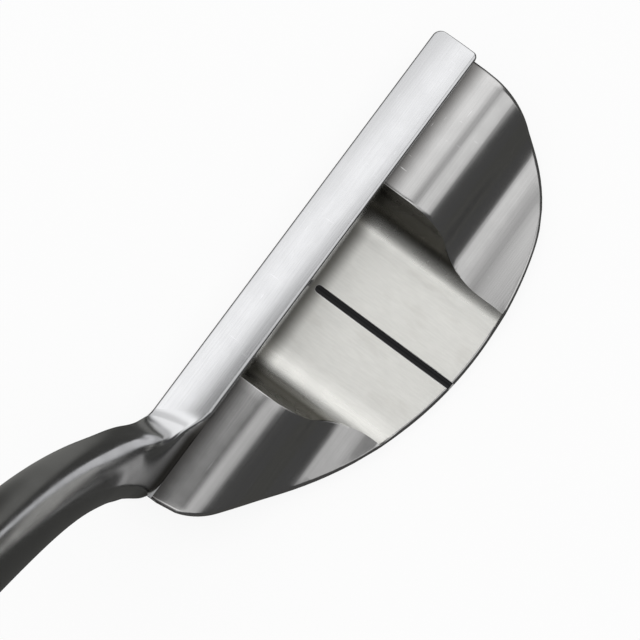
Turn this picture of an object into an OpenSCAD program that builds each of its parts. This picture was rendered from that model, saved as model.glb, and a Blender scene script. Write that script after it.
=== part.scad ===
// Right-handed putter: a half-moon head milled from stainless steel, a flow neck that sets the
// shaft ahead of the face, a stepped steel shaft and a rubber pistol grip.
// X runs from toe (-) to heel (+), -Y is the way the ball goes, Z is up.
// The origin is on the ground, on the flat of the sole, in the plane of the sight line.

/* [Blade] */
// Distance from the sight line to the toe end of the head
toe_len = 51.9; // [48:0.1:60]
// Distance from the sight line to the heel end of the flange
heel_len = 51.3; // [48:0.1:54]
// Height of the top line above the ground
top_h = 21.5; // [20:0.5:28]
// Thickness of the blade at its top line
blade_t = 9.2; // [8:0.1:12]
// Distance from the origin forward to the front edge of the top line
face_set = 19; // [18:0.5:24]
// Loft of the face from the vertical
loft = 3.5; // [2:0.5:5]
// Radius of the blade's front toe corner, seen from above
toe_corner_r = 1.7; // [0.8:0.1:3]
// Radius of the blade's heel corners, seen from above
heel_corner_r = 4.3; // [2:0.1:4.3]
// Radius of the leading edge where the face meets the sole
lead_r = 2.5; // [1:0.5:4]

/* [Flange] */
// Distance from the front edge of the top line back to the rearmost point
depth = 43.6; // [40:0.1:52]
// Radius of the long rear edge, seen from above
rear_r = 75; // [70:0.1:90]
// Distance of the rearmost point from the sight line, towards the toe
apex_x = 8.6; // [0:0.1:14]
// Radius of the toe corner of the flange
toe_r = 29.6; // [24:0.1:36]
// Angle where the rear edge runs out into the straight heel diagonal
diagonal = 37.8; // [30:0.1:45]
// Radius of the heel corner of the flange
heel_r = 13.3; // [8:0.1:16]

/* [Bumpers] */
// Height of the flat behind the blade
bumper_h = 15.6; // [13:0.1:18]
// Height of the low skirt along the rear edge
skirt_h = 5.1; // [4.4:0.1:7]
// Width of the flat behind the blade
shelf_w = 5.3; // [3:0.1:8]
// Run of the S-shaped slope from the flat down to the skirt
slope_run = 19.6; // [18:0.1:24]
// Share of the drop that the convex upper arc takes
shoulder_share = 0.53; // [0.4:0.01:0.6]

/* [Cavity] */
// Height of the cavity's floor
floor_h = 3.6; // [3:0.1:5]
// Width of the cavity at the top of the bumpers
cavity_w = 45.4; // [40:0.2:52]
// Draft of the cavity's side walls from the vertical
wall_draft = 13; // [5:1:20]
// Radius of the fillet between floor and side walls
cavity_r = 9.7; // [6:0.1:10]

/* [Sight line] */
// Width of the sight line groove
line_w = 1.5; // [0.8:0.1:2]
// Depth of the groove
line_depth = 0.8; // [0.4:0.1:1]
// Thickness of the paint at the bottom of the groove
paint_t = 0.35; // [0.2:0.05:0.4]
// Distance from the blade to the front end of the groove
line_gap = 0.9; // [0.5:0.1:3]
// Distance from the rear edge, where the groove runs out, to the end of the paint
line_end = 0.3; // [0.2:0.1:1]

/* [Sole] */
// Half width of the flat of the sole, from the sight line to toe and heel
sole_half = 24; // [18:1:30]
// Distance from the origin back to the rear end of the sole's flat
sole_back = 8; // [6:1:16]
// Angle at which the sole lifts towards toe and heel
end_relief = 4; // [2:0.5:7]
// Angle of the relief under the trailing edge
relief = 5; // [2:0.5:8]

/* [Flow neck] */
// Lie angle of the shaft from the ground
lie = 71; // [69:0.5:74]
// Where the shaft's axis meets the ground, heelward of the sight line
foot_x = 37.4; // [36:0.1:40]
// Distance of the shaft's axis ahead of the top line's front edge
offset = 3.8; // [2:0.1:5]
// Height above the ground of the hosel's top, on the shaft's axis
hosel_top = 95; // [92:1:110]
// Outer diameter of the hosel
hosel_d = 12.2; // [12:0.1:14]
// Diameter of the slim middle of the neck
waist_d = 11.9; // [11.5:0.1:13]
// Length of the neck's foot along the blade, as a half width
foot_half = 6.7; // [6.5:0.1:8]
// Where the neck's blend starts on the rear edge of the top line
blend_rear = 31.2; // [30:0.1:34]
// Where the neck's blend starts on the front edge of the top line
blend_front = 37; // [36:0.1:38]
// Turn of the neck's section as it rises
section_turn = 12.5; // [0:0.5:16]
// Diameter of the locating spigot under the neck
spigot_d = 6.35; // [5:0.05:7]
// Length of the spigot
spigot_len = 8; // [4:0.5:10]
// Clearance all round the spigot
spigot_gap = 0.05; // [0.02:0.01:0.1]

/* [Shaft] */
// Playing length of the club, along the shaft's axis from the ground to the end of the grip
club_len = 864; // [800:1:920]
// Outer diameter of the shaft's tip
tip_d = 9.4; // [9.2:0.1:9.8]
// Outer diameter of the shaft's butt
butt_d = 15.2; // [14.7:0.1:15.6]
// Wall of the shaft
shaft_wall = 0.5; // [0.4:0.05:0.8]
// Length of the parallel tip section
tip_len = 240; // [200:5:280]
// Number of steps between tip and butt
steps = 10; // [6:1:14]
// Distance from the last step to the mouth of the grip
mouth_gap = 6; // [2:1:40]
// Depth of the hosel's bore
bore_depth = 32; // [24:1:36]
// Thickness of the epoxy round the tip
bond_t = 0.12; // [0.08:0.01:0.2]
// Thickness of the epoxy under the tip
bond_floor = 0.5; // [0.3:0.1:1]

/* [Grip] */
// Length of the rubber grip without its cap
grip_len = 264; // [240:1:272]
// Width of the grip at its mouth
mouth_w = 17.6; // [17:0.1:19]
// Width of the grip at its top
grip_w = 23.4; // [21:0.1:26]
// Distance from the shaft's axis to the flat, at the mouth
flat_low = 8.5; // [8.4:0.1:9]
// Distance from the shaft's axis to the flat, at the top
flat_high = 9.7; // [9:0.1:11]
// Distance from the shaft's axis to the underside, at the mouth
belly_low = 8.9; // [8.6:0.1:10]
// Distance from the shaft's axis to the underside, at the pistol swell
belly_high = 15.5; // [12:0.1:17]
// Thickness of the tape between shaft and grip
tape_t = 0.15; // [0.1:0.05:0.3]
// Thickness of the butt cap
cap_t = 4; // [3:0.5:5]
// Diameter of the air hole through the cap
vent_d = 3; // [2:0.5:4]

/* [Hidden] */
$fn = 64;
far = 200;

front_y = -face_set;
back_y = front_y + blade_t;
mid_y = front_y + blade_t / 2;
rear_y = front_y + depth;

// Flange outline: centres of its three arcs, and the points where they meet
rear_c = [-apex_x, rear_y - rear_r];
toe_c = [toe_r - toe_len,
         rear_c[1] + sqrt(pow(rear_r - toe_r, 2) - pow(toe_r - toe_len + apex_x, 2))];
toe_dir = (toe_c - rear_c) / (rear_r - toe_r);
diag_dir = [sin(diagonal), cos(diagonal)];
diag_c = diag_dir * rear_c + rear_r;
heel_c = [heel_len - heel_r,
          (diag_c - heel_r - diag_dir[0] * (heel_len - heel_r)) / diag_dir[1]];
rear_at_line = rear_c[1] + sqrt(pow(rear_r, 2) - pow(apex_x, 2));

// Slope of the bumpers: two arcs that meet with one tangent
slope_drop = bumper_h - skirt_h;
slope_turn = 2 * atan(slope_drop / slope_run);
shoulder_y = back_y + shelf_w;
arc_sum = slope_run / sin(slope_turn);
shoulder_r = arc_sum * shoulder_share;
valley_r = arc_sum - shoulder_r;
knee = [shoulder_y + shoulder_r * sin(slope_turn), bumper_h - shoulder_r * (1 - cos(slope_turn))];
valley_y = shoulder_y + slope_run;

// Cavity section: floor, fillet and drafted wall
wall_foot_z = floor_h + cavity_r * (1 - sin(wall_draft));
wall_foot_x = cavity_w / 2 - (bumper_h - wall_foot_z) * tan(wall_draft);
floor_half = wall_foot_x - cavity_r * cos(wall_draft);

// Neck: its path eases from the blade's heel onto the shaft's axis, and its section turns from
// the blade's oblong to round
axis_y = front_y - offset;
slope_x = 1 / tan(lie);
foot_lean = 4.1;
ease_power = 3.2;
collar_len = 3.5;
path_top = hosel_top - collar_len;
waist_z = 2 * top_h;
turn_rise = 9;
turn_z = top_h + turn_rise;
tilt_z = 58;
swell_z = 78;
round_z = 56;
shift_len = 7;
toe_power = 10.5;
toe_fade = 4.2;
heel_power = 2.4;
end_r = hosel_d / 2 - 0.03;
lap = 1;
foot_centre = foot_x + bumper_h * slope_x + foot_lean;
heel_x = foot_centre + foot_half;
root_x = path_x(top_h) - foot_half;
fillet_max = root_x - blend_rear;
foot_rings = 4;
fillet_rings = 10;
rise_rings = 18;
ring_points = 48;
fillet_end = top_h + fillet_max;
levels = concat(
    [for (k = [0 : foot_rings]) blend(bumper_h, top_h, k / foot_rings)],
    [for (k = [1 : fillet_rings]) top_h + fillet_max * (1 - cos(90 * k / fillet_rings))],
    [for (k = [1 : rise_rings]) blend(fillet_end, path_top, pow(k / rise_rings, 1.2))]);

// Stations along the shaft's axis, measured from the ground
hosel_s = hosel_top / sin(lie);
bore_s = hosel_s - bore_depth;
bore_d = tip_d + 2 * bond_t;
tip_s = bore_s + bond_floor;
cap_s = club_len - cap_t;
grip_s = cap_s - grip_len;
core_d = butt_d + 2 * tape_t;
step_len = (grip_s - mouth_gap - tip_s - tip_len) / steps;
ramp = 1.5;
grip_rings = 33;
grip_points = 40;

// Shape of the grip: shares of its length from mouth to top, and the squareness of its section
mouth_lip = 0.5;
lip_share = 0.012;
swell_start = 0.42;
swell_end = 0.9;
tuck = 2;
flat_power = 5;
belly_power = 2.3;
cap_rings = 7;
cap_crown = 0.6;

line_front = back_y + line_gap;
line_rear = rear_at_line - line_end;

function smooth(t) = let(c = min(1, max(0, t))) c * c * (3 - 2 * c);
function blend(a, b, t) = a + (b - a) * t;
// Radius of a superellipse with half axes of 1 in the direction (c, s)
function round_square(c, s, power) =
    power > 50 ? 1 / max(abs(c), abs(s))
               : pow(pow(abs(c), power) + pow(abs(s), power), -1 / power);
// Quads between rings of n points each, with both ends closed
function loft_faces(rings, n) = concat(
    [[for (k = [0 : n - 1]) k]],
    [for (j = [0 : rings - 2], k = [0 : n - 1])
        [j * n + k, (j + 1) * n + k, (j + 1) * n + (k + 1) % n, j * n + (k + 1) % n]],
    [[for (k = [n - 1 : -1 : 0]) (rings - 1) * n + k]]);

// How much of the neck's shift onto the shaft's axis is left at height z
function left_over(z) = pow(1 - min(1, max(0, (z - bumper_h) / (path_top - bumper_h))), ease_power);
function path_x(z) = foot_x + slope_x * z + foot_lean * left_over(z);
function half_size(z, root) =
    z < waist_z ? blend(root, waist_d / 2, smooth((z - top_h) / (waist_z - top_h)))
                : blend(waist_d / 2, end_r, smooth((z - waist_z) / (swell_z - waist_z)));
// Where the neck starts on the blade, for a point at the distance y behind its middle line
function start_x(y) = blend(blend_front, blend_rear, y / blade_t + 0.5);
// Toe side of the ring at height z: the blade's slanted seat, then a fillet that rises from it
function toe_side(z, y, share) =
    z <= top_h ? start_x(y)
    : let(r = root_x - start_x(share * blade_t / 2),
          q = min(1, max(0, (top_h + r - z) / r)))
      path_x(z) - half_size(z, foot_half) - r * (1 - sqrt(1 - q * q));
function neck_point(z, angle) =
    let(c = cos(angle), s = sin(angle),
        power_heel = 2 + (heel_power - 2) * pow(1 - min(1, (z - bumper_h) / (round_z - bumper_h)), 2),
        power_toe = z <= top_h ? 100 : 2 + (toe_power - 2) * exp((top_h - z) / toe_fade),
        r = round_square(c, s, c < 0 ? power_toe : power_heel),
        tilt = (90 - lie) * smooth((z - top_h) / (tilt_z - top_h)),
        turn = section_turn * smooth((z - top_h) / (turn_z - top_h)),
        half_x = half_size(z, foot_half),
        y = s * r * half_size(z, blade_t / 2) - tan(loft) * (top_h - min(z, top_h)) * (1 - s * r) / 2,
        x = c * r * (c < 0 ? path_x(z) - toe_side(z, y, s * r) : half_x),
        u = x * cos(turn) - y * sin(turn),
        v = c * r * half_x * sin(turn) + y * cos(turn),
        px = path_x(z) + u * cos(tilt),
        shift = z < tilt_z ? smooth((px - start_x(s * r * blade_t / 2)) / shift_len) : 1)
    [px, mid_y + v + (axis_y - mid_y) * (1 - left_over(z)) * shift, z - u * sin(tilt)];

// Share of the way from one height of the grip to another
function along(t, a, b) = smooth((t - a) / (b - a));
// A point of the grip's skin: t runs from its mouth (0) to its top (1)
function grip_point(t, angle, inset) =
    let(c = cos(angle), s = sin(angle),
        lip = mouth_lip * (1 - along(t, 0, lip_share)) + inset,
        wide = blend(mouth_w / 2, grip_w / 2, smooth(t)) - lip,
        flat_side = blend(flat_low, flat_high, t) - lip,
        swell = blend(belly_low, belly_high, along(t, swell_start, swell_end)),
        belly = swell - tuck * along(t, swell_end, 1) - lip,
        r = round_square(c, s, c < 0 ? flat_power : belly_power))
    [c * r * (c < 0 ? flat_side : belly), s * r * wide];

// Plane quarter of a circle's sector, from its centre out past its rim
module sector(centre, r, from_dir, to_dir) {
    reach = 2 * r;
    middle = (from_dir + to_dir) / norm(from_dir + to_dir);
    intersection() {
        translate(centre) circle(r = r, $fn = 128);
        translate(centre) polygon([[0, 0], from_dir * reach, middle * reach, to_dir * reach]);
    }
}

module flange_outline() {
    polygon([[-toe_len, mid_y], [heel_len, mid_y], [heel_len, heel_c[1]],
             heel_c + diag_dir * heel_r, rear_c + diag_dir * rear_r,
             rear_c + toe_dir * rear_r, [-toe_len, toe_c[1]]]);
    sector(toe_c, toe_r, [-1, 0], toe_dir);
    sector(rear_c, rear_r, toe_dir, diag_dir);
    sector(heel_c, heel_r, diag_dir, [1, 0]);
}

// The flange's front-to-back section: flat, S-shaped slope, skirt, and the relief under its rear
module flange_section() {
    difference() {
        union() {
            translate([mid_y, 0]) square([shoulder_y - mid_y, bumper_h]);
            translate([shoulder_y, 0]) square([knee[0] - shoulder_y, knee[1]]);
            intersection() {
                translate([shoulder_y, knee[1]]) square([knee[0] - shoulder_y, bumper_h - knee[1]]);
                translate([shoulder_y, bumper_h - shoulder_r]) circle(r = shoulder_r, $fn = 96);
            }
            difference() {
                translate([knee[0], 0]) square([valley_y - knee[0], knee[1]]);
                translate([valley_y, skirt_h + valley_r]) circle(r = valley_r, $fn = 96);
            }
            translate([valley_y, 0]) square([rear_y + 1 - valley_y, skirt_h]);
        }
        polygon([[sole_back, 0], [sole_back, -far], [sole_back + far, -far],
                 [sole_back + far, far * tan(relief)]]);
    }
}

// The blade's front-to-back section, with its lofted face and rounded leading edge
module blade_section() {
    lead = [front_y + (lead_r - sin(loft) * (top_h - lead_r)) / cos(loft), lead_r];
    polygon([[lead[0], 0], [back_y, 0], [back_y, top_h], [front_y, top_h],
             lead + lead_r * [-cos(loft), sin(loft)]]);
    translate(lead) circle(r = lead_r);
}

// The sole from toe to heel: a flat that lifts at both ends
module sole_section() {
    lift = (far - sole_half) * tan(end_relief);
    polygon([[-sole_half, 0], [sole_half, 0], [far, lift], [far, far], [-far, far], [-far, lift]]);
}

// The milled cavity from toe to heel: floor, fillets and drafted walls
module cavity_section() {
    polygon([[-floor_half, floor_h], [floor_half, floor_h],
             [wall_foot_x, wall_foot_z], [wall_foot_x + far * tan(wall_draft), wall_foot_z + far],
             [-wall_foot_x - far * tan(wall_draft), wall_foot_z + far], [-wall_foot_x, wall_foot_z]]);
    for (x = [-floor_half, floor_half])
        translate([x, floor_h + cavity_r]) circle(r = cavity_r, $fn = 96);
}

module blade_outline() {
    front = front_y - top_h * tan(loft);
    corner_x = heel_x - heel_corner_r;
    toe_x = toe_corner_r - toe_len;
    translate([toe_x, front]) square([corner_x - toe_x, blade_t + front_y - front]);
    translate([-toe_len, front + toe_corner_r]) square([2 * toe_corner_r, back_y - front - toe_corner_r]);
    translate([toe_x, front + toe_corner_r]) circle(r = toe_corner_r);
    translate([corner_x - 1, front + heel_corner_r])
        square([heel_corner_r + 1, back_y - front - 2 * heel_corner_r]);
    for (y = [front + heel_corner_r, back_y - heel_corner_r])
        translate([corner_x, y]) circle(r = heel_corner_r);
}

// Raises an outline to a little over the height h, and starts it a little below the ground
module stand(h) {
    translate([0, 0, -1]) linear_extrude(h + 2) children();
}

// Stands a plane section up, facing +X, and runs it from x0 to x1
module run_x(x0, x1) {
    translate([x0, 0, 0]) rotate([90, 0, 90]) linear_extrude(x1 - x0) children();
}

// Stands a plane section up, facing -Y, and runs it from y0 to y1
module run_y(y0, y1) {
    translate([0, y1, 0]) rotate([90, 0, 0]) linear_extrude(y1 - y0) children();
}

// Outline of the sight line, from its round front end back to y = end
module line_outline(end) {
    start = line_front + line_w / 2;
    translate([0, start]) circle(d = line_w, $fn = 32);
    translate([-line_w / 2, start]) square([line_w, end - start]);
}

// The room over the blade's heel that the neck's foot fills
module neck_seat() {
    front = front_y - top_h;
    back = back_y + top_h;
    translate([0, 0, bumper_h]) linear_extrude(far)
        polygon([[start_x(front - mid_y), front], [far, front], [far, back],
                 [start_x(back - mid_y), back]]);
}

module head_body() {
    color("silver") difference() {
        intersection() {
            union() {
                difference() {
                    intersection() {
                        stand(top_h) flange_outline();
                        run_x(-far, far) flange_section();
                    }
                    run_y(-far, far) cavity_section();
                }
                intersection() {
                    stand(top_h) blade_outline();
                    run_x(-far, far) blade_section();
                }
            }
            run_y(-far, far) sole_section();
        }
        translate([0, 0, floor_h - line_depth]) linear_extrude(far) line_outline(rear_y + 1);
        neck_seat();
        translate([foot_centre, mid_y, bumper_h - spigot_len - bond_floor])
            cylinder(d = spigot_d + 2 * spigot_gap, h = far);
    }
}

// Moves what stands on the origin to a station on the shaft's axis; its -X side becomes the top
module on_shaft(station) {
    translate([foot_x, axis_y, 0]) rotate([0, 90 - lie, 0]) translate([0, 0, station]) children();
}

module flow_neck() {
    color("gray") difference() {
        union() {
            polyhedron([for (z = levels, k = [0 : ring_points - 1]) neck_point(z, 360 * k / ring_points)],
                       loft_faces(len(levels), ring_points));
            on_shaft(path_top / sin(lie) - lap)
                cylinder(d = hosel_d, h = hosel_s + lap - path_top / sin(lie));
            translate([foot_centre, mid_y, bumper_h - spigot_len])
                cylinder(d = spigot_d, h = spigot_len + lap);
        }
        on_shaft(bore_s) cylinder(d = bore_d, h = far);
    }
}

module sight_line_fill() {
    color("black") translate([0, 0, floor_h - line_depth]) linear_extrude(paint_t) line_outline(line_rear);
}

// Radius of the shaft's outside after k steps
function step_r(k) = (tip_d + (butt_d - tip_d) * k / steps) / 2;

module shaft() {
    first = tip_s + tip_len;
    outside = concat([[step_r(0), tip_s]],
        [for (k = [0 : steps - 1], end = [0, 1]) [step_r(k + end), first + k * step_len + end * ramp]],
        [[step_r(steps), cap_s]]);
    inside = [for (k = [len(outside) - 1 : -1 : 0]) outside[k] - [shaft_wall, 0]];
    color("gainsboro") on_shaft(0) rotate_extrude() polygon(concat(outside, inside));
}

module shaft_epoxy() {
    color("goldenrod") on_shaft(0) difference() {
        translate([0, 0, bore_s]) cylinder(d = bore_d, h = bore_depth);
        translate([0, 0, tip_s]) cylinder(d = tip_d, h = far);
    }
}

module grip_tape() {
    color("wheat") on_shaft(grip_s) difference() {
        cylinder(d = core_d, h = grip_len);
        translate([0, 0, -1]) cylinder(d = butt_d, h = grip_len + 2);
    }
}

module grip() {
    color("dimgray") on_shaft(grip_s) difference() {
        polyhedron([for (j = [0 : grip_rings - 1], k = [0 : grip_points - 1])
                       let(t = j < 3 ? j * lip_share / 3 : blend(lip_share, 1, (j - 3) / (grip_rings - 4)),
                           p = grip_point(t, 360 * k / grip_points, 0))
                       [p[0], p[1], t * grip_len]],
                   loft_faces(grip_rings, grip_points));
        translate([0, 0, -1]) cylinder(d = core_d, h = grip_len + 2);
    }
}

module grip_cap() {
    color("black") on_shaft(cap_s) difference() {
        polyhedron([for (j = [0 : cap_rings], k = [0 : grip_points - 1])
                       let(a = max(0, j - 1) * 90 / (cap_rings - 1),
                           p = grip_point(1, 360 * k / grip_points, cap_t * cap_crown * (1 - cos(a))))
                       [p[0], p[1], j == 0 ? 0 : cap_t * (1 - cap_crown * (1 - sin(a)))]],
                   loft_faces(cap_rings + 1, grip_points));
        translate([0, 0, -1]) cylinder(d = vent_d, h = cap_t + 2);
    }
}

head_body();
flow_neck();
sight_line_fill();
shaft();
shaft_epoxy();
grip_tape();
grip();
grip_cap();
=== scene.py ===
"""A right-handed half-moon putter: milled steel head, flow neck, stepped shaft and pistol grip.

-X is the toe, +X the heel, -Y the way the ball goes, +Z up; the sole rests at z = 0.
"""

from math import asin, cos, degrees, exp, pi, radians, sin, sqrt, tan

import bpy
from mathutils import Matrix, Vector
from mathutils.geometry import intersect_point_line


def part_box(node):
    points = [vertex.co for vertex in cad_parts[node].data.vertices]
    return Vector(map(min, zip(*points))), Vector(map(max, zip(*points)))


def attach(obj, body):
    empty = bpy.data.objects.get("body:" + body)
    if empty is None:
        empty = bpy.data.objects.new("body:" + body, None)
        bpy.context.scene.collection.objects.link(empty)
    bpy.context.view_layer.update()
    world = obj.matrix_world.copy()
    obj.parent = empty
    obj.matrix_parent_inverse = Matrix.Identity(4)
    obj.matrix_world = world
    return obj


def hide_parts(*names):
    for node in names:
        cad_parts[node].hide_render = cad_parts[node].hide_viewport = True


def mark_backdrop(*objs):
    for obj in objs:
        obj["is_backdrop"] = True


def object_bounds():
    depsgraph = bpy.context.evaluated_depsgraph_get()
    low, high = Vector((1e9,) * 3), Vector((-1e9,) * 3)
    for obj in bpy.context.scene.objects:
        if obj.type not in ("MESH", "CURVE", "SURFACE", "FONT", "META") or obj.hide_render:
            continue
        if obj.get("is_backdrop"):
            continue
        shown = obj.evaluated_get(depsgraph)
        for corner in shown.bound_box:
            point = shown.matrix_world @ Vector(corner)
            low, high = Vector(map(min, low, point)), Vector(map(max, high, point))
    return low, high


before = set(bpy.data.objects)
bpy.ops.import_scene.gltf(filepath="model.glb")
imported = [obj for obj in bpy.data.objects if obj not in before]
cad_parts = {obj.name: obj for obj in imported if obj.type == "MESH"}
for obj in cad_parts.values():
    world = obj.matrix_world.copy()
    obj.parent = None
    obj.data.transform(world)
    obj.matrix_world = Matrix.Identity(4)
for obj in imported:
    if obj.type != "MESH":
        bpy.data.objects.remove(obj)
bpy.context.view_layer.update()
bpy.ops.object.select_all(action="DESELECT")
mm = 0.001

# ---------------------------------------------------------------------------------------------
# Head, milled from one block of stainless steel: first the flange behind the blade, a plate with
# a rounded outline whose top falls in an S from a flat shelf to a low skirt, with a wide cavity
# milled through its middle from front to back.
# ---------------------------------------------------------------------------------------------
head_low, head_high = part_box("head_body")
toe_x = head_low.x
top_z = head_high.z
loft = radians(3.5)
front_y = -19 * mm
blade_t = 9.2 * mm
mid_y = front_y + blade_t / 2
back_y = front_y + blade_t

heel_len = 51.3 * mm
rear_y = 24.6 * mm
rear_r = 75 * mm
apex_x = 8.6 * mm
toe_r = 29.6 * mm
diagonal = radians(37.8)
heel_r = 13.3 * mm

bumper_z = 15.6 * mm
skirt_z = 5.1 * mm
shelf_w = 5.3 * mm

floor_z = 3.6 * mm
cavity_w = 45.4 * mm
wall_draft = radians(13)
cavity_r = 9.7 * mm

sole_half = 24 * mm
sole_back = 8 * mm
end_relief = radians(4)
relief = radians(5)
rim_r = 0.8 * mm
sole_edge_r = 0.3 * mm
# So little that it can't be seen, it keeps the faces of two bodies from falling together
hair = 0.005 * mm


def arc(centre, radius, start, end, step=2.5):
    """Points of an arc in a plane, from one angle to another, in degrees, a step or less apart."""
    count = max(1, round(abs(end - start) / step))
    angles = [radians(start + (end - start) * k / count) for k in range(count + 1)]
    return [(centre[0] + radius * cos(a), centre[1] + radius * sin(a)) for a in angles]


def select_only(piece):
    bpy.ops.object.select_all(action="DESELECT")
    piece.select_set(True)
    bpy.context.view_layer.objects.active = piece


def finish_modifier(piece, kind, **settings):
    """Gives a piece a modifier and applies it."""
    select_only(piece)
    modifier = piece.modifiers.new(kind.lower(), kind)
    for key, value in settings.items():
        setattr(modifier, key, value)
    bpy.ops.object.modifier_apply(modifier=modifier.name)


def prism(name, outline, run):
    """A closed solid: a plane outline of 3-D points, pulled along run."""
    bpy.ops.mesh.primitive_circle_add(vertices=len(outline), fill_type="NGON")
    piece = bpy.context.object
    piece.name = piece.data.name = name
    for vertex, point in zip(piece.data.vertices, outline):
        vertex.co = point
    bpy.ops.object.mode_set(mode="EDIT")
    bpy.ops.mesh.select_all(action="SELECT")
    bpy.ops.mesh.extrude_region_move(TRANSFORM_OT_translate={"value": run})
    bpy.ops.mesh.select_all(action="SELECT")
    bpy.ops.mesh.normals_make_consistent(inside=False)
    bpy.ops.object.mode_set(mode="OBJECT")
    return piece


def combine(piece, tool, operation):
    """Joins, cuts or crosses a piece with a tool body, and removes the tool."""
    finish_modifier(piece, "BOOLEAN", operation=operation, object=tool, solver="EXACT")
    bpy.data.objects.remove(tool)


def round_edges(piece, radius, segments, chosen, sharpness=30):
    """Rounds the sharp edges whose middle is one of the chosen."""
    select_only(piece)
    bpy.ops.object.mode_set(mode="EDIT")
    bpy.ops.mesh.select_mode(type="EDGE")
    bpy.ops.mesh.select_all(action="DESELECT")
    bpy.ops.mesh.edges_select_sharp(sharpness=radians(sharpness))
    bpy.ops.object.mode_set(mode="OBJECT")
    points = [vertex.co for vertex in piece.data.vertices]
    marked = [edge.select and chosen((points[edge.vertices[0]] + points[edge.vertices[1]]) / 2)
              for edge in piece.data.edges]
    for parts in (piece.data.vertices, piece.data.polygons):
        parts.foreach_set("select", [False] * len(parts))
    piece.data.edges.foreach_set("select", marked)
    bpy.ops.object.mode_set(mode="EDIT")
    bpy.ops.mesh.bevel(offset=radius, segments=segments, affect="EDGES", clamp_overlap=False)
    bpy.ops.mesh.select_mode(type="VERT")
    bpy.ops.object.mode_set(mode="OBJECT")


def slice_off(piece, place, outwards):
    """Cuts away what lies beyond a plane and closes the cut."""
    select_only(piece)
    bpy.ops.object.mode_set(mode="EDIT")
    bpy.ops.mesh.select_all(action="SELECT")
    bpy.ops.mesh.bisect(plane_co=place, plane_no=outwards, use_fill=True, clear_outer=True)
    bpy.ops.object.mode_set(mode="OBJECT")


def add_lines(piece, places, direction):
    """Scores a piece all round with lines across a direction, which splits its long faces."""
    select_only(piece)
    bpy.ops.object.mode_set(mode="EDIT")
    for place in places:
        bpy.ops.mesh.select_all(action="SELECT")
        bpy.ops.mesh.bisect(plane_co=[place * d for d in direction], plane_no=direction)
    bpy.ops.object.mode_set(mode="OBJECT")


def relieve_ends(piece, lift=0):
    """Makes the sole rise towards toe and heel."""
    for side in (-1, 1):
        slice_off(piece, (side * sole_half, 0, lift), (side * sin(end_relief), 0, -cos(end_relief)))


# Front-to-back section of the flange: a convex shoulder that turns down by slope_turn, then a
# valley that opens in two arcs. Each arc has the slope where it starts, in degrees, and its radius.
# The first one's radius follows from the drop, and the last entry is the level end
shoulder_r = 12.3 * mm
slope_turn = 58
valley = [(15, 24.5 * mm), (0, 0)]


def sine(angle):
    return sin(radians(angle))


def cosine(angle):
    return cos(radians(angle))


drop = bumper_z - skirt_z - shoulder_r * (1 - cosine(slope_turn))
for (turn, radius), (flatter, _) in zip(valley, valley[1:]):
    drop -= radius * (cosine(flatter) - cosine(turn))
valley = [(slope_turn, drop / (cosine(valley[0][0]) - cosine(slope_turn)))] + valley
shoulder_y = back_y + shelf_w
slope = arc((shoulder_y, bumper_z - shoulder_r), shoulder_r, 90, 90 - slope_turn, 3)
for (turn, radius), (flatter, _) in zip(valley, valley[1:]):
    y, z = slope[-1]
    centre = (y + radius * sine(turn), z + radius * cosine(turn))
    slope += arc(centre, radius, 270 - turn, 270 - flatter, 3)[1:]
tail_y = slope[-1][0]
beyond = rear_y + 5 * mm
section = (
    [(mid_y - mm, hair), (mid_y - mm, bumper_z)] + slope
    + [(beyond, skirt_z), (beyond, (beyond - sole_back) * tan(relief)), (sole_back, hair)])

# Its outline, from the blade round the toe and the rear edge to the heel. Along the slope it has
# its points where the slope's lines meet it, so that the rim can be rounded
rear_c = Vector((-apex_x, rear_y - rear_r))
toe_c = Vector((toe_x + toe_r, 0))
toe_c.y = rear_c.y + sqrt((rear_r - toe_r) ** 2 - (toe_c.x - rear_c.x) ** 2)
toe_turn = degrees((toe_c - rear_c).angle(Vector((1, 0))))
diag = Vector((sin(diagonal), cos(diagonal)))
heel_c = Vector((heel_len - heel_r, 0))
heel_c.y = (diag.dot(rear_c) + rear_r - heel_r - diag.x * heel_c.x) / diag.y


def toe_side(y):
    return toe_c.x - sqrt((toe_r - hair) ** 2 - (y - toe_c.y) ** 2)


def heel_side(y):
    if y > rear_c.y + rear_r * diag.y:
        return rear_c.x + sqrt(rear_r ** 2 - (y - rear_c.y) ** 2)
    if y > heel_c.y + heel_r * diag.y:
        return (diag.dot(rear_c) + rear_r - diag.y * y) / diag.x
    return heel_c.x + sqrt(heel_r ** 2 - (y - heel_c.y) ** 2)


skirt_y = tail_y + 2 * mm
skirt_toe = 180 - degrees(asin((skirt_y - toe_c.y) / toe_r))
skirt_heel = degrees(asin((skirt_y - rear_c.y) / rear_r))
flange_edge = (
    [(toe_x + hair, mid_y), (toe_x + hair, toe_c.y)] + [(toe_side(y), y) for y, z in slope]
    + arc(toe_c, toe_r - hair, skirt_toe, toe_turn) + arc(rear_c, rear_r, toe_turn, skirt_heel, 1.2)[1:]
    + [(heel_side(y), y) for y, z in reversed(slope)] + [(heel_len, heel_c.y), (heel_len, mid_y)])
wide = 60 * mm
flange = prism("putter_head", [(x, y, -mm) for x, y in flange_edge], (0, 0, top_z))
combine(flange, prism("section", [(-wide, y, z) for y, z in section], (2 * wide, 0, 0)), "INTERSECT")
relieve_ends(flange, hair)

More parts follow.
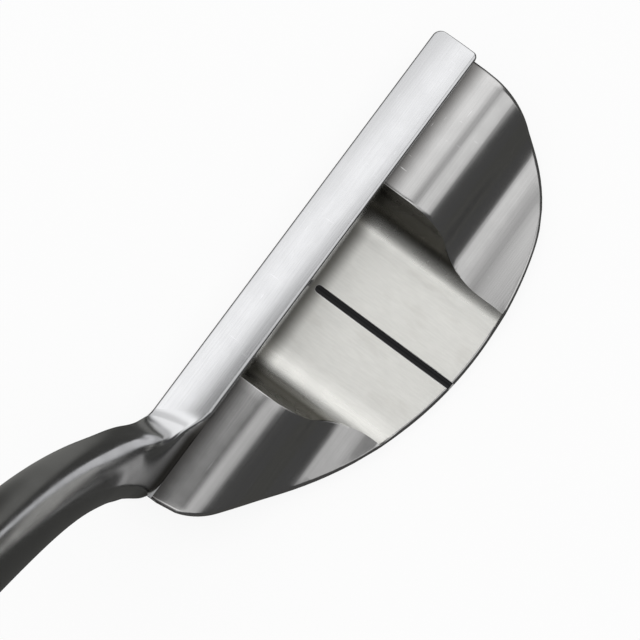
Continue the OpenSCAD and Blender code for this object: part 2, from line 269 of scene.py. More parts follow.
# The cavity's cutter: floor, fillets and drafted walls
draft = degrees(wall_draft)
wall_foot_z = floor_z + cavity_r * (1 - sin(wall_draft))
wall_foot_x = cavity_w / 2 - (bumper_z - wall_foot_z) * tan(wall_draft)
floor_half = wall_foot_x - cavity_r * cos(wall_draft)
above = top_z + 5 * mm
open_x = wall_foot_x + (above - wall_foot_z) * tan(wall_draft)
cutter = (
    arc((floor_half, floor_z + cavity_r), cavity_r, 270, 360 - draft, 4.5)
    + [(open_x, above), (-open_x, above)]
    + arc((-floor_half, floor_z + cavity_r), cavity_r, 180 + draft, 270, 4.5))
combine(flange, prism("cutter", [(x, -wide, z) for x, z in cutter], (0, 2 * wide, 0)), "DIFFERENCE")


def on_rim(point):
    """Whether a point lies on the flange's outline, seen from above."""
    for a, b in zip(flange_edge, flange_edge[1:]):
        nearest, share = intersect_point_line(point.xy, a, b)
        if -0.01 < share < 1.01 and (nearest.xy - point.xy).length < 0.02 * mm:
            return True
    return False


round_edges(flange, rim_r, 5, lambda p: on_rim(p) and p.z > floor_z - 0.3 * mm)
round_edges(flange, sole_edge_r, 3, lambda p: on_rim(p) and p.z < floor_z - mm)

# ---------------------------------------------------------------------------------------------
# The blade that the same block carries in front: a lofted face, a slightly crowned top line and a
# rounded heel. Above the bumpers its heel ends at the slanted seat of the neck.
# ---------------------------------------------------------------------------------------------
lie = radians(71)
slope_x = 1 / tan(lie)
foot_x = 37.4 * mm
offset = 3.8 * mm
axis_y = front_y - offset
hosel_top = 95 * mm
hosel_r = 6.1 * mm
waist_r = 5.95 * mm
foot_half = 6.7 * mm
blend_rear = 31.2 * mm
blend_front = 37 * mm
foot_lean = 4.1 * mm
ease_power = 3.2
path_top = hosel_top - 3.5 * mm
waist_z = 2 * top_z
edge_r = 0.35 * mm
crown_r = 30 * mm
crown_y = mid_y + 2.8 * mm
rear_round = 0.85 * mm
rear_round_r = 1.0 * mm
rear_bend = 0.25 * mm


def blend(a, b, share):
    return a + (b - a) * share


def smooth(share):
    share = min(1, max(0, share))
    return share * share * (3 - 2 * share)


def crown_drop(y):
    """How far the crowned top line and the narrow slope at its rear lie below the highest line."""
    rear = max(0, min(y, back_y) - back_y + rear_round)
    bend = min(rear, rear_bend)
    crown = crown_r - sqrt(crown_r ** 2 - min(abs(y - crown_y), blade_t) ** 2)
    return crown + bend ** 2 / (2 * rear_round_r) + (rear - bend) * rear_bend / rear_round_r


def left_over(z):
    """How much of the neck's shift onto the shaft's axis is left at a height."""
    return (1 - min(1, max(0, (z - bumper_z) / (path_top - bumper_z)))) ** ease_power


def path_x(z):
    return foot_x + slope_x * z + foot_lean * left_over(z)


def start_x(y):
    """Where the neck starts on the blade, at a distance behind the blade's middle line."""
    return blend(blend_front, blend_rear, y / blade_t + 0.5)


foot_centre = path_x(bumper_z)
heel_power = 2.4
lean = tan(loft)
toe_front_r = 1.7 * mm
toe_rear_r = 1.0 * mm
heel_end = []
for k in range(1, 40):
    a = radians(-90 + 180 * k / 40)
    r = (abs(cos(a)) ** heel_power + abs(sin(a)) ** heel_power) ** (-1 / heel_power)
    heel_end.append((foot_centre + cos(a) * r * foot_half, mid_y + sin(a) * r * blade_t / 2))
blade_edge = (
    arc((toe_x + toe_rear_r, back_y - toe_rear_r), toe_rear_r, 90, 180, 10)
    + arc((toe_x + toe_front_r, front_y + toe_front_r), toe_front_r, 180, 270, 10)
    + [(foot_centre, front_y)] + heel_end + [(foot_centre, back_y)])
blade = prism("blade", [(x, y, 0) for x, y in blade_edge], (0, 0, top_z))

# Its edges are rounded; then the top line is crowned, the leading edge rolled back and the face
# leant forward by the loft
lead_r = 2.5 * mm
relieve_ends(blade)
finish_modifier(blade, "BEVEL", width=edge_r, segments=6, limit_method="ANGLE",
                angle_limit=radians(40), use_clamp_overlap=False)
add_lines(blade, [mid_y + k * blade_t / 11 for k in range(-4, 4)], (0, 1, 0))
add_lines(blade, [back_y - rear_round + rear_bend * k / 4 for k in range(5)], (0, 1, 0))
add_lines(blade, [lead_r * (1 - sin(radians(10 * k))) for k in range(9)], (0, 0, 1))
for vertex in blade.data.vertices:
    if vertex.co.z > top_z - edge_r - hair:
        vertex.co.z -= crown_drop(vertex.co.y)
    share = (back_y - vertex.co.y) / blade_t
    low = max(0, lead_r - vertex.co.z)
    vertex.co.y += share * (lead_r - sqrt(lead_r ** 2 - low ** 2) - lean * (top_z - vertex.co.z))
head = flange
combine(head, blade, "UNION")
seat_z = bumper_z - 0.3 * mm
seat = [(start_x(y - mid_y), y) for y in (front_y - 2 * blade_t, back_y + hair)]
seat += [(2 * wide, back_y + hair), (2 * wide, front_y - 2 * blade_t)]
combine(head, prism("seat", [(x, y, seat_z) for x, y in seat], (0, 0, top_z)), "DIFFERENCE")

# Groove of the sight line, which runs out through the rear edge, then the softened mouths of the
# groove and of the cavity, and lines across the large faces, which keep their shading even
line_half = 0.75 * mm
line_depth = 0.8 * mm
line_gap = 0.9 * mm
groove_z = floor_z - line_depth
line_front = back_y + line_gap + line_half
groove_edge_r = 0.15 * mm
mouth_edge_r = 0.2 * mm
pitch = 3 * mm
first_line = 0.7 * mm


def line_edge(half, end):
    """Outline of the sight line, half wide on each side, from its round front end back to y = end."""
    return arc((0, line_front), half, 180, 360, 15) + [(half, end), (-half, end)]


def on_groove(point):
    across = abs(point.x) if point.y > line_front else Vector((point.x, point.y - line_front)).length
    return abs(across - line_half) < 0.01 * mm and abs(point.z - floor_z) < hair


combine(head, prism("groove", [(x, y, groove_z) for x, y in line_edge(line_half, beyond)],
                    (0, 0, top_z)), "DIFFERENCE")
round_edges(head, groove_edge_r, 2, on_groove)
round_edges(head, mouth_edge_r, 2, lambda p: 15 * mm < abs(p.x) < 23.5 * mm
            and p.y > back_y + 1.3 * mm and p.z > skirt_z + 0.6 * mm, 38)
add_lines(head, [k * pitch + first_line for k in range(-17, 18)], (1, 0, 0))
add_lines(head, [k * pitch + first_line for k in range(-2, 8)], (0, 1, 0))


def smooth_faces(piece):
    """Shades round faces smoothly, with the large flat ones kept flat."""
    select_only(piece)
    bpy.ops.object.shade_smooth_by_angle(angle=radians(30))
    finish_modifier(piece, "WEIGHTED_NORMAL", mode="FACE_AREA", weight=50, keep_sharp=True)


smooth_faces(head)


def node(tree, kind, inputs, **settings):
    """Adds a shader node; an input is a value or another node's output."""
    made = tree.nodes.new("ShaderNode" + kind)
    for key, value in settings.items():
        setattr(made, key, value)
    for key, value in inputs.items():
        if isinstance(value, bpy.types.NodeSocket):
            tree.links.new(value, made.inputs[key])
        else:
            made.inputs[key].default_value = value
    return made


def finish_of(name, colour, metallic, roughness):
    """A new material: its tree, its shader and the coordinates on the object."""
    material = bpy.data.materials.new(name)
    material.use_nodes = True
    tree = material.node_tree
    shader = tree.nodes["Principled BSDF"]
    shader.inputs["Base Color"].default_value = (*colour, 1)
    shader.inputs["Metallic"].default_value = metallic
    shader.inputs["Roughness"].default_value = roughness
    return material, tree, shader, node(tree, "TexCoord", {}).outputs["Object"]


def grain(tree, place, stretch, turn=0, detail=2, blur=0.5):
    """Noise with so many grains to the metre along each axis, turned about Z."""
    mapped = node(tree, "Mapping", {"Vector": place, "Rotation": (0, 0, turn), "Scale": stretch})
    inputs = {"Vector": mapped.outputs[0], "Scale": 1, "Detail": detail, "Roughness": blur}
    return node(tree, "TexNoise", inputs).outputs[0]


def remap(tree, value, low, high, to_low=0, to_high=1):
    inputs = {"Value": value, "From Min": low, "From Max": high, "To Min": to_low, "To Max": to_high}
    return node(tree, "MapRange", inputs, interpolation_type="SMOOTHSTEP").outputs[0]


def sum_of(tree, operation, first, second):
    return node(tree, "Math", {0: first, 1: second}, operation=operation).outputs[0]


def tinted(tree, share, first, second):
    """A colour between two, by a share."""
    inputs = {0: share}
    for slot, colour in ((6, first), (7, second)):
        inputs[slot] = colour if isinstance(colour, bpy.types.NodeSocket) else (*colour, 1)
    return node(tree, "Mix", inputs, data_type="RGBA").outputs[2]


def bumped(tree, shader, height, depth):
    """Lets a height from 0 to 1 roughen the surface by a depth in metres."""
    bump = node(tree, "Bump", {"Height": height, "Distance": depth, "Strength": 1})
    tree.links.new(bump.outputs[0], shader.inputs["Normal"])


def cavity_half(z):
    """Half the cavity's width at a height."""
    if z > wall_foot_z:
        return wall_foot_x + (z - wall_foot_z) * tan(wall_draft)
    return floor_half + sqrt(max(0, cavity_r ** 2 - (floor_z + cavity_r - z) ** 2))


for face in head.data.polygons:
    spot = face.center
    if spot.y > back_y + hair:
        in_cavity = spot.z > floor_z - hair and abs(spot.x) < cavity_half(spot.z) + 0.05 * mm
        face.material_index = 2 if in_cavity and spot.z < bumper_z - hair else 1


def steel(name, colour, roughness, spread, lines, depth, cloudy=0.97):
    """Stainless steel with cutter lines; spread is how much further it blurs across them."""
    material, tree, shader, place = finish_of(name, colour, 1, roughness)
    shader.inputs["Anisotropic"].default_value = spread
    tangent = node(tree, "Tangent", {}, direction_type="RADIAL", axis="X")
    tree.links.new(tangent.outputs[0], shader.inputs["Tangent"])
    clouds = grain(tree, place, (260, 260, 260), detail=4)
    low, high = roughness - 0.015, roughness + 0.015
    tree.links.new(remap(tree, clouds, 0.3, 0.7, low, high), shader.inputs["Roughness"])
    cut = grain(tree, place, lines)
    bumped(tree, shader, cut, depth)
    shade = tinted(tree, remap(tree, clouds, 0.3, 0.7), colour, [cloudy * c for c in colour])
    shade = tinted(tree, remap(tree, cut, 0.3, 0.7, 0, 0.25), shade, [0.8 * c for c in colour])
    return material, tree, shader, place, shade


def marked(tree, place, shade, colour, low, high):
    """Short scratches and dents of handling, in two directions, over a colour."""
    nicks = sum_of(tree, "MAXIMUM", grain(tree, place, (2400, 260, 500), turn=0.6),
                   grain(tree, place, (260, 2400, 500), turn=0.35))
    return tinted(tree, remap(tree, nicks, low, high, 0, 0.6), shade, colour)


def painted_corner_shade(tree, place, shade, colour):
    """Darkens a colour towards the corner under the blade: painted shade, where the blade's back wall
    shades the surface.
    """
    behind = node(tree, "SeparateXYZ", {"Vector": place}).outputs["Y"]
    return tinted(tree, remap(tree, behind, back_y + 4 * mm, back_y, 0, 0.95), shade, colour)


# Top line and face: brushed satin. Bumpers: lines of the cutter from toe to heel
top_steel, tree, shader, place, shade = steel(
    "brushed_top_steel", (0.87, 0.875, 0.89), 0.18, 0.3, (120, 4200, 4200), 0.004 * mm)
tree.links.new(marked(tree, place, shade, (0.97, 0.97, 1), 0.7, 0.76), shader.inputs["Base Color"])
milled_steel, tree, shader, place, shade = steel(
    "milled_steel", (0.71, 0.705, 0.7), 0.16, 0.35, (40, 3200, 3200), 0.003 * mm)
# Painted shade: the bumpers darken towards the corner under the blade
shade = painted_corner_shade(tree, place, shade, (0.16, 0.155, 0.15))
tree.links.new(marked(tree, place, shade, (0.95, 0.95, 0.95), 0.74, 0.79), shader.inputs["Base Color"])

# Cavity: blasted floor with faint stains, smoother walls; painted shade darkens the walls above their
# fillets and the floor where it meets the blade
cavity_steel, tree, shader, place, shade = steel(
    "cavity_steel", (0.9, 0.895, 0.855), 0.3, 0, (2500, 300, 2500), 0.003 * mm)
parts = node(tree, "SeparateXYZ", {"Vector": place}).outputs
on_floor = remap(tree, parts["Z"], floor_z + 0.6 * mm, floor_z + 0.05 * mm)
stains = grain(tree, place, (300, 120, 120), turn=0.5, detail=5, blur=0.6)
stained = sum_of(tree, "MULTIPLY", on_floor, remap(tree, stains, 0.52, 0.68, 0, 0.3))
shade = tinted(tree, stained, shade, (0.74, 0.725, 0.68))
# Painted shade: the cavity's walls turn dark above their fillets, starting a little lower on the toe
# side
shaded_wall_height = sum_of(tree, "ADD", parts["Z"], sum_of(tree, "MULTIPLY", parts["X"], -0.035))
shade = tinted(tree, remap(tree, shaded_wall_height, 4.8 * mm, 7 * mm), shade, (0.13, 0.125, 0.11))
tree.links.new(remap(tree, on_floor, 0, 1, 1, 0.75), shader.inputs["Metallic"])
# Painted shade: the cavity darkens towards the corner under the blade
shade = painted_corner_shade(tree, place, shade, (0.14, 0.135, 0.12))
tree.links.new(shade, shader.inputs["Base Color"])
clouds = remap(tree, grain(tree, place, (150, 150, 150), detail=4), 0.3, 0.7, -0.03, 0.03)
rough = sum_of(tree, "ADD", remap(tree, on_floor, 0, 1, 0.26, 0.38), clouds)
tree.links.new(rough, shader.inputs["Roughness"])
blast = grain(tree, place, (3800, 3800, 3800), detail=1)
bumped(tree, shader, sum_of(tree, "MULTIPLY", on_floor, blast), 0.008 * mm)
for finish in (top_steel, milled_steel, cavity_steel):
    head.data.materials.append(finish)
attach(head, "root")
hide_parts("head_body")

# ---------------------------------------------------------------------------------------------
# Paint of the sight line: black enamel that fills the bottom of the groove. It has dried with a
# hollow surface and stands a little higher at the groove's walls.
# ---------------------------------------------------------------------------------------------
paint_t = 0.35 * mm
paint_top = groove_z + paint_t
line_end = 0.3 * mm
line_rear = rear_c.y + sqrt(rear_r ** 2 - apex_x ** 2) - line_end
hollow_r = 1.8 * mm
hollow = arc((0, paint_top + sqrt(hollow_r ** 2 - line_half ** 2)), hollow_r, 240, 300, 5)
dish = [(-2 * line_half, groove_z - mm)] + hollow + [(2 * line_half, groove_z - mm)]
paint = prism("sight_line_paint", [(x, y, groove_z) for x, y in line_edge(line_half - hair, line_rear)],
              (0, 0, 2 * mm))
combine(paint, prism("dish", [(x, back_y - mm, z) for x, z in dish], (0, 2 * wide, 0)), "INTERSECT")
smooth_faces(paint)
black_enamel, tree, shader, place = finish_of("black_enamel", (0.006, 0.006, 0.007), 0, 0.2)
shader.inputs["IOR"].default_value = 1.3
bumped(tree, shader, grain(tree, place, (700, 700, 700)), 0.01 * mm)
paint.data.materials.append(black_enamel)
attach(paint, "root")
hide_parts("sight_line_fill")

# ---------------------------------------------------------------------------------------------
# Flow neck, welded to the heel and ground flush: it curves forward from the top line onto the
# shaft's axis while its section turns from the blade's oblong to round. Polished stainless steel.
# ---------------------------------------------------------------------------------------------
turn_top = top_z + 9 * mm
tilt_top = 58 * mm
swell_top = 78 * mm
round_top = 56 * mm
shift_len = 7 * mm
toe_power = 10.5
toe_fade = 4.2 * mm
section_turn = radians(12.5)
root_x = path_x(top_z) - foot_half
fillet_max = root_x - blend_rear
edge_fade = 8 * mm
fillet_power = 2.8
shaft_bore = 4.82 * mm
bore_depth = 32 * mm
hosel_s = hosel_top / sin(lie)


def half_size(z, root):
    if z < waist_z:
        return blend(root, waist_r, smooth((z - top_z) / (waist_z - top_z)))
    return blend(waist_r, hosel_r - 0.03 * mm, smooth((z - waist_z) / (swell_top - waist_z)))


def eased(share):
    """The other half axis' share on a quarter of an oval whose ends run out gently."""
    return (1 - min(1, share) ** fillet_power) ** (1 / fillet_power)


def neck_point(z, angle):
    """A point of the neck's skin, on the ring that leaves the path at a height."""
    c, s = cos(angle), sin(angle)
    power = 2 + (heel_power - 2) * (1 - min(1, (z - bumper_z) / (round_top - bumper_z))) ** 2
    if c < 0:
        power = 100 if z <= top_z else 2 + (toe_power - 2) * exp((top_z - z) / toe_fade)
    r = 1 / max(abs(c), abs(s)) if power > 50 else (abs(c) ** power + abs(s) ** power) ** (-1 / power)
    across, along = c * r, s * r
    half_x, half_y = half_size(z, foot_half), half_size(z, blade_t / 2)
    start = start_x(along * blade_t / 2)
    fillet = root_x - start

    def offsets(along):
        """Offsets along and across the blade, before the section turns."""
        y = along * half_y - lean * (top_z - min(z, top_z)) * (1 - along) / 2
        if across > 0:
            return across * half_x, y
        if z <= top_z:
            return across * (path_x(z) - start_x(y)), y
        rise = max(0, (top_z + fillet - z) / fillet)
        return across * (half_x + fillet * (1 - eased(rise))), y

    x, y = offsets(along)
    # The rounded edges of the top line run out into the neck
    run = max(0, path_x(z) + x - start)
    depth = top_z + fillet * (1 - eased(run / fillet)) - z
    round_r = edge_r * (1 - smooth(run / edge_fade))
    inset = (1 - abs(along)) * half_y
    corner = Vector((max(0, round_r - inset), max(0, round_r - depth)))
    sink = 0
    if corner.x > 0 and corner.y > 0:
        corner *= max(corner) / corner.length
        along = (1 - (round_r - corner.x) / half_y) * (1 if along > 0 else -1)
        sink = round_r - corner.y - depth
        x, y = offsets(along)
    crown = crown_drop(mid_y + along * half_y)
    sink += crown * (1 - smooth(run / edge_fade)) * (1 - smooth(depth / (3 * mm)))

    turn = section_turn * smooth((z - top_z) / (turn_top - top_z))
    tilt = (pi / 2 - lie) * smooth((z - top_z) / (tilt_top - top_z))
    u = x * cos(turn) - y * sin(turn)
    v = across * half_x * sin(turn) + y * cos(turn)
    px = path_x(z) + u * cos(tilt)
    shift = smooth((px - start_x(along * blade_t / 2)) / shift_len) if z < tilt_top else 1
    return px, mid_y + v + (axis_y - mid_y) * (1 - left_over(z)) * shift, z - sink - u * sin(tilt)


def beside_shaft(station, out, side):
    """A point beside the shaft's axis. Station counts along it from the ground, out goes down and
    heelwards, and side goes to the back."""
    return (foot_x + station * cos(lie) + out * sin(lie), axis_y + side,
            station * sin(lie) - out * cos(lie))


def on_shaft(station, radius, angle):
    return beside_shaft(station, radius * cos(angle), radius * sin(angle))


def wrapped(name, columns, rows):
    """A grid wrapped round, one row of points after another, with both ends filled. Rows that end
    with the first one again make a bored piece, as the two meet."""
    bpy.ops.mesh.primitive_grid_add(x_subdivisions=columns, y_subdivisions=len(rows) - 1)
    piece = bpy.context.object
    piece.name = piece.data.name = name
    for k, vertex in enumerate(piece.data.vertices):
        row, column = divmod(k, columns + 1)
        vertex.co = rows[row](2 * pi * (column % columns) / columns)
    bpy.ops.object.mode_set(mode="EDIT")
    bpy.ops.mesh.select_all(action="SELECT")
    bpy.ops.mesh.remove_doubles(threshold=0.0001 * mm)
    bpy.ops.mesh.fill_holes(sides=0)
    bpy.ops.mesh.select_all(action="SELECT")
    bpy.ops.mesh.normals_make_consistent(inside=False)
    bpy.ops.object.mode_set(mode="OBJECT")
    return piece


def crowded(angle):
    """An angle round the neck, moved so that points crowd at the corners of the top line."""
    return angle - 0.2 * sin(4 * angle - pi)


def ring(z):
    return lambda t: neck_point(z, crowded(t))


heights = [blend(seat_z, top_z - edge_r, k / 5) for k in range(5)]
heights += [top_z - edge_r * (1 - k / 5) for k in range(6)]
heights += [top_z + fillet_max * (1 - eased(sin(radians(90) * k / 30))) for k in range(1, 31)]
rise_from = top_z + fillet_max
heights += [blend(rise_from, path_top, (k / 64) ** 1.2) for k in range(1, 65)]
rows = [ring(z) for z in heights]
lip = 0.5 * mm
profile = [(path_top / sin(lie) + 0.4 * mm, hosel_r), (hosel_s - lip, hosel_r)]
profile += [(hosel_s - lip * (1 - sin(a)), hosel_r - lip * (1 - cos(a)))
            for a in (radians(18 * k) for k in range(1, 6))]
profile += [(hosel_s, shaft_bore + 0.2 * mm), (hosel_s - 0.2 * mm, shaft_bore),
            (hosel_s - bore_depth, shaft_bore)]
rows += [lambda t, s=s, r=r: on_shaft(s, r, crowded(t)) for s, r in profile]
neck = wrapped("polished_flow_neck", 160, rows)
smooth_faces(neck)
# Painted shade: beyond its root the neck's colour is far darker than polished steel
neck_shaded_colour = (0.46, 0.46, 0.465)
neck_steel, tree, shader, place = finish_of("polished_neck_steel", neck_shaded_colour, 1, 0.2)
clouds = grain(tree, place, (120, 120, 120), detail=4)
polish = grain(tree, place, (900, 900, 90), detail=2)
shade = tinted(tree, remap(tree, clouds, 0.3, 0.7), neck_shaded_colour, [0.93 * c for c in neck_shaded_colour])
parts = node(tree, "SeparateXYZ", {"Vector": place}).outputs
# The painted shade ends at the root: the neck is steel-coloured up to x = 34 mm and fully darkened by x
# = 46 mm
shade = tinted(tree, remap(tree, parts["X"], 34 * mm, 46 * mm), (0.84, 0.845, 0.86), shade)
# Painted shade in the corner where the neck meets the back of the blade, below the top line
corner = sum_of(tree, "MULTIPLY", remap(tree, parts["Y"], back_y - 3.5 * mm, back_y - 0.5 * mm),
                remap(tree, parts["Z"], top_z - 0.5 * mm, top_z - 4 * mm))
tree.links.new(tinted(tree, corner, shade, (0.16, 0.155, 0.13)), shader.inputs["Base Color"])
tree.links.new(remap(tree, clouds, 0.3, 0.7, 0.15, 0.22), shader.inputs["Roughness"])
bumped(tree, shader, polish, 0.003 * mm)
neck.data.materials.append(neck_steel)
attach(neck, "root")
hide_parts("flow_neck")

# ---------------------------------------------------------------------------------------------
# Shaft: a steel tube drawn in ten steps from tip to butt and chromed, glued into the hosel.
# ---------------------------------------------------------------------------------------------
club_len = 864 * mm
tip_r = 4.7 * mm
butt_r = 7.6 * mm
shaft_wall = 0.5 * mm
tip_len = 240 * mm
steps = 10
step_ramp = 1.5 * mm
mouth_gap = 6 * mm
cap_t = 4 * mm
grip_len = 264 * mm
cap_s = club_len - cap_t
grip_s = cap_s - grip_len
bond_floor = 0.5 * mm
tip_s = hosel_s - bore_depth + bond_floor
step_len = (grip_s - mouth_gap - tip_s - tip_len) / steps

stations = [(tip_s, tip_r - 0.4 * mm), (tip_s + 0.4 * mm, tip_r)]
for k in range(steps):
    start = tip_s + tip_len + k * step_len
    low = blend(tip_r, butt_r, k / steps)
    high = blend(tip_r, butt_r, (k + 1) / steps)
    stations += [(start + step_ramp * j / 4, blend(low, high, smooth(j / 4))) for j in range(5)]
stations += [(cap_s, butt_r)]
# Back down along the inside of its wall
stations += [(s, r - shaft_wall) for s, r in reversed(stations[1:])]
stations += stations[:1]
shaft = wrapped("stepped_shaft", 72, [lambda t, s=s, r=r: on_shaft(s, r, t) for s, r in stations])
smooth_faces(shaft)
chrome, tree, shader, place = finish_of("bright_chrome", (0.86, 0.865, 0.87), 1, 0.06)
wipe = grain(tree, place, (90, 90, 40), detail=4)
tree.links.new(remap(tree, wipe, 0.35, 0.75, 0.04, 0.1), shader.inputs["Roughness"])
bumped(tree, shader, grain(tree, place, (300, 300, 300)), 0.002 * mm)
shaft.data.materials.append(chrome)
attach(shaft, "root")
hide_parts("shaft")

# ---------------------------------------------------------------------------------------------
# Glue line in the hosel: cured epoxy round the tip, of which a thin ring shows at the lip. The tape
# under the grip is double-sided paper tape, hidden by the rubber.
# ---------------------------------------------------------------------------------------------
for name, colour, roughness, scale in (("shaft_epoxy", (0.55, 0.38, 0.12), 0.25, 900),
                                       ("grip_tape", (0.72, 0.66, 0.5), 0.8, 1500)):
    finish, tree, shader, place = finish_of(name + "_finish", colour, 0, roughness)
    specks = grain(tree, place, (scale, scale, scale), detail=4)
    tree.links.new(tinted(tree, remap(tree, specks, 0.3, 0.7), colour, [0.8 * c for c in colour]),
                   shader.inputs["Base Color"])
    bumped(tree, shader, specks, 0.02 * mm)
    bpy.data.objects[name].data.materials.clear()
    bpy.data.objects[name].data.materials.append(finish)

# ---------------------------------------------------------------------------------------------
# Grip: a moulded rubber sleeve with a flat front and a pistol swell behind, slid over the tape.
# Shallow grooves are moulded across its back and sides, fine ribs along its flat.
# ---------------------------------------------------------------------------------------------
mouth_half = 8.8 * mm
top_half = 11.7 * mm
flat_low = 8.5 * mm
flat_high = 9.7 * mm
belly_low = 8.9 * mm
belly_high = 15.5 * mm
tuck = 2 * mm
groove_pitch = 4 * mm
groove_depth = 0.3 * mm
rib_depth = 0.2 * mm
ribs = 9
flat_power = 5
belly_power = 2.3
core_r = 7.75 * mm


def along(share, start, end):
    """How far a share has gone from start to end, easing in and out."""
    return smooth((share - start) / (end - start))


def grip_skin(share, angle, inset, moulded=True):
    """A point of the grip's skin: share runs from its mouth (0) to its top (1)."""
    c, s = cos(angle), sin(angle)
    lip = 0.5 * mm * (1 - along(share, 0, 0.012)) + inset
    power = flat_power if c < 0 else belly_power
    r = (abs(c) ** power + abs(s) ** power) ** (-1 / power)
    if moulded:
        panel = along(share, 0.05, 0.07) * (1 - along(share, 0.93, 0.95))
        wave = 0.5 - 0.5 * cos(2 * pi * share * grip_len / groove_pitch)
        lip += groove_depth * panel * along(c, -0.35, 0.1) * wave ** 4
        rib = 0.5 - 0.5 * cos(s * r * ribs * pi)
        lip += rib_depth * panel * along(-c * r, 0.98, 0.995) * rib ** 3
    wide_half = blend(mouth_half, top_half, smooth(share)) - lip
    flat_side = blend(flat_low, flat_high, share) - lip
    swell = blend(belly_low, belly_high, along(share, 0.42, 0.9)) - tuck * along(share, 0.9, 1) - lip
    return c * r * (flat_side if c < 0 else swell), s * r * wide_half


def grip_ring(share, inset=0):
    return lambda t: beside_shaft(grip_s + share * grip_len, *grip_skin(share, t, inset))


count = round(grip_len / groove_pitch) * 6
shares = [0, 0.003, 0.006, 0.009] + [k / count for k in range(5, count + 1)]
grip_rows = [lambda t: on_shaft(grip_s, core_r, t)] + [grip_ring(share) for share in shares]
grip_rows += [lambda t: on_shaft(cap_s, core_r, t)]
grip = wrapped("pistol_grip", 144, grip_rows + grip_rows[:1])
smooth_faces(grip)
rubber, tree, shader, place = finish_of("moulded_rubber", (0.03, 0.03, 0.032), 0, 0.6)
pores = grain(tree, place, (3000, 3000, 3000), detail=3)
wear = grain(tree, place, (60, 60, 30), detail=3)
tree.links.new(tinted(tree, remap(tree, wear, 0.35, 0.7), (0.03, 0.03, 0.032), (0.045, 0.044, 0.044)),
               shader.inputs["Base Color"])
tree.links.new(remap(tree, wear, 0.3, 0.7, 0.52, 0.66), shader.inputs["Roughness"])
bumped(tree, shader, pores, 0.02 * mm)
grip.data.materials.append(rubber)
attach(grip, "root")
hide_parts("grip")

# ---------------------------------------------------------------------------------------------
# Butt cap: a domed rubber disc bonded to the top of the grip, with the air hole in its middle.
# ---------------------------------------------------------------------------------------------
vent_r = 1.5 * mm
vent_edge = 0.3 * mm
crown_share = 0.6
cap_rows = [lambda t: on_shaft(cap_s, vent_r, t)]
for k in range(12):
    a = radians(90 * max(0, k - 1) / 10)
    inset = cap_t * crown_share * (1 - cos(a))
    rise = 0 if k == 0 else cap_t * (1 - crown_share * (1 - sin(a)))
    cap_rows.append(lambda t, i=inset, h=rise: beside_shaft(cap_s + h, *grip_skin(1, t, i, False)))
cap_rows += [lambda t: on_shaft(club_len, 5 * mm, t),
             lambda t: on_shaft(club_len, vent_r + vent_edge, t),
             lambda t: on_shaft(club_len - vent_edge, vent_r, t)]
cap = wrapped("butt_cap", 96, cap_rows + cap_rows[:1])
smooth_faces(cap)
cap_rubber, tree, shader, place = finish_of("smooth_rubber", (0.025, 0.025, 0.027), 0, 0.45)
bumped(tree, shader, grain(tree, place, (2000, 2000, 2000)), 0.01 * mm)
cap.data.materials.append(cap_rubber)
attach(cap, "root")
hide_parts("grip_cap")

# ---------------------------------------------------------------------------------------------
# Studio: a camera above the head, a pale floor and one broad lamp. Only the metal sees the light
# tent, with lit strips of cloth overhead and two lit walls, and the dark card on the ground.
# ---------------------------------------------------------------------------------------------
eye = Vector((20.5, 1.6, 350.7)) * mm
aim = Vector((4.6, -4.5, 0)) * mm
roll = radians(126.6)
bpy.ops.object.camera_add(location=eye)
camera = bpy.context.object
camera.data.lens = 100
camera.data.sensor_width = 36
camera.data.clip_start = 0.01
back = (eye - aim).normalized()
right = Vector((cos(roll), sin(roll), 0))
right = (right - back * right.dot(back)).normalized()
turned = Matrix((right, back.cross(right), back)).transposed().to_4x4()
camera.matrix_world = Matrix.Translation(eye) @ turned
bpy.context.scene.camera = camera


def not_diffuse(tree):
    """1 where the camera, a reflection or a clear body looks, 0 where light spreads."""
    rays = node(tree, "LightPath", {}).outputs
    seen = sum_of(tree, "MAXIMUM", rays["Is Camera Ray"], rays["Is Glossy Ray"])
    return sum_of(tree, "MAXIMUM", seen, rays["Is Transmission Ray"])


bpy.context.scene.view_settings.view_transform = "Standard"
world = bpy.data.worlds.new("studio")
bpy.context.scene.world = world
world.use_nodes = True
tree = world.node_tree
share = not_diffuse(tree)
tree.links.new(remap(tree, share, 0, 1, 0.55, 1), tree.nodes["Background"].inputs["Strength"])
tree.nodes["Background"].inputs["Color"].default_value = (1, 1, 1, 1)

bpy.ops.mesh.primitive_plane_add(size=8, location=(0, 0, -0.01 * mm))
floor = bpy.context.object
floor.name = "pale_floor"
finish, tree, shader, place = finish_of("pale_floor", (0.9, 0.9, 0.9), 0, 0.8)
glow = node(tree, "Emission", {"Color": (1, 1, 1, 1), "Strength": 1})
mixed = node(tree, "MixShader", {0: sum_of(tree, "MULTIPLY", not_diffuse(tree), 0.88),
                                 1: shader.outputs[0], 2: glow.outputs[0]})
tree.links.new(mixed.outputs[0], tree.nodes["Material Output"].inputs["Surface"])
floor.data.materials.append(finish)
floor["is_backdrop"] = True

bpy.ops.object.light_add(type="AREA", location=(-0.3, -0.2, 1.7))
lamp = bpy.context.object
lamp.data.size = 1.6
lamp.data.energy = 14
lamp.visible_glossy = False

bpy.ops.mesh.primitive_uv_sphere_add(segments=48, ring_count=24, radius=3)
tent = bpy.context.object
tent.name = "light_tent"
finish, tree, shader, place = finish_of("tent_cloth", (1, 1, 1), 0, 1)
heading = node(tree, "VectorMath", {0: place}, operation="NORMALIZE").outputs[0]
parts = node(tree, "SeparateXYZ", {"Vector": heading}).outputs
east, north, up = parts["X"], parts["Y"], parts["Z"]
dimmest = 0.07


def product_of(*values):
    """Values multiplied with one another, in the tree that is being built."""
    product = values[0]
    for value in values[1:]:
        product = sum_of(tree, "MULTIPLY", product, value)
    return product


def lit(value, *ramps):
    """Product of ramps. Each has the values where it starts and ends, and its light at both."""
    return product_of(*(remap(tree, value, *ramp) for ramp in ramps))


def brighter(first, second):
    return sum_of(tree, "MAXIMUM", first, second)


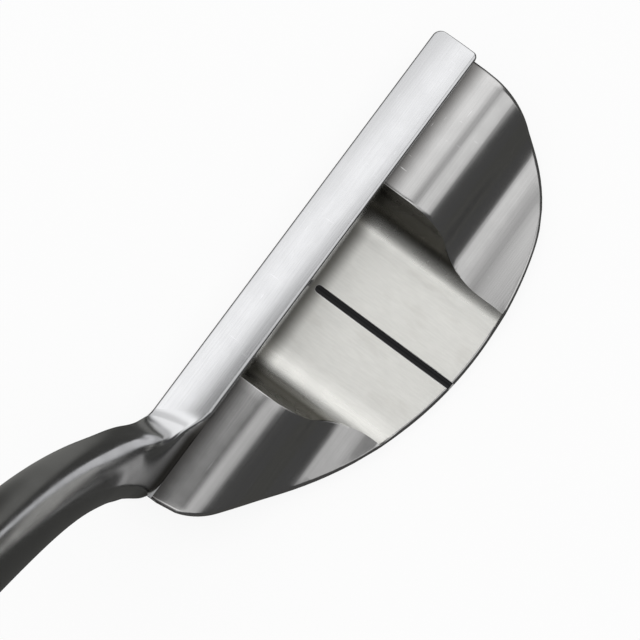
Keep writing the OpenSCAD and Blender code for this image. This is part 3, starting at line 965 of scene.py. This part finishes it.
# Overhead a broad strip, with two narrower ones behind and heelwards, all fading towards the
# ground. Strips that run aslant are measured on a sum of north and east
aslant = sum_of(tree, "ADD", north, product_of(east, 1.2))
front = brighter(lit(aslant, (-0.75, -0.42, 0.7, 1)), lit(east, (-0.3, -0.55, 0, 1)))
broad_strip = product_of(lit(aslant, (-0.28, 0.12, 1.03, 0.12)), front,
                         lit(east, (-1, -0.8, 0.4, 1)), lit(north, (0.15, 0.4, 1, 0.08)))
aslant = sum_of(tree, "ADD", north, product_of(east, 0.6))
second_strip = product_of(lit(aslant, (0.02, 0.34, 0, 1), (0.52, 0.76, 1, 0)),
                          lit(north, (0.05, 0.2, 0, 1)),
                          lit(east, (-0.2, 0.05, 0.85, 0.55), (-0.55, -0.3, 0, 1)))
third_strip = product_of(lit(east, (0.1, 0.24, 0, 0.9), (0.42, 0.74, 1, 0)),
                         lit(north, (0.1, 0.3, 1, 0)))
strips = sum_of(tree, "ADD", broad_strip, brighter(second_strip, third_strip))
ceiling = product_of(strips, lit(up, (0.05, 0.5, 0.08, 1)))

# A lit wall beyond the toe and one beyond the heel, from the ground up
toe_wall = product_of(lit(east, (-0.72, -0.86, 0, 0.6)),
                      lit(north, (0.2, -0.1, 0, 1), (-0.75, -0.55, 0, 1)))
heel_wall = product_of(lit(east, (0.35, 0.5, 0, 0.8)), lit(north, (-0.3, -0.45, 0, 1)),
                       lit(up, (0.5, 0.75, 1, 0)))
walls = product_of(brighter(toe_wall, heel_wall), lit(up, (-0.02, 0.04)))
level = brighter(brighter(ceiling, walls), dimmest)
glow = node(tree, "Emission", {"Color": (1, 1, 1, 1), "Strength": level})
tree.links.new(glow.outputs[0], tree.nodes["Material Output"].inputs["Surface"])
tent.data.materials.append(finish)

# The card is dark under and behind the head, and paler before it and far round its other sides
bpy.ops.mesh.primitive_circle_add(vertices=64, radius=2.9, fill_type="NGON",
                                  location=(0, 0, -0.005 * mm))
card = bpy.context.object
card.name = "dark_card"
finish, tree, shader, place = finish_of("card_cloth", (0, 0, 0), 0, 1)
away = node(tree, "VectorMath", {0: place}, operation="LENGTH").outputs["Value"]
parts = node(tree, "SeparateXYZ", {"Vector": place}).outputs
before = lit(parts["Y"], (-0.025, -0.04, 0, 0.2), (-0.085, -0.05, 0, 1))
aside = product_of(sum_of(tree, "ABSOLUTE", parts["X"], 0), -1.5)
not_behind = lit(sum_of(tree, "ADD", parts["Y"], aside), (0.1, -0.2, 0, 1))
around = product_of(lit(away, (0.5, 0.9, 0, 0.6)), not_behind)
level = brighter(brighter(around, before), dimmest)
glow = node(tree, "Emission", {"Color": (1, 1, 0.95, 1), "Strength": level})
tree.links.new(glow.outputs[0], tree.nodes["Material Output"].inputs["Surface"])
card.data.materials.append(finish)
for piece in (tent, card):
    piece.visible_camera = False
    piece.visible_diffuse = False
    piece.visible_transmission = False
    piece.visible_shadow = False
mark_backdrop(tent, card)

low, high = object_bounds()
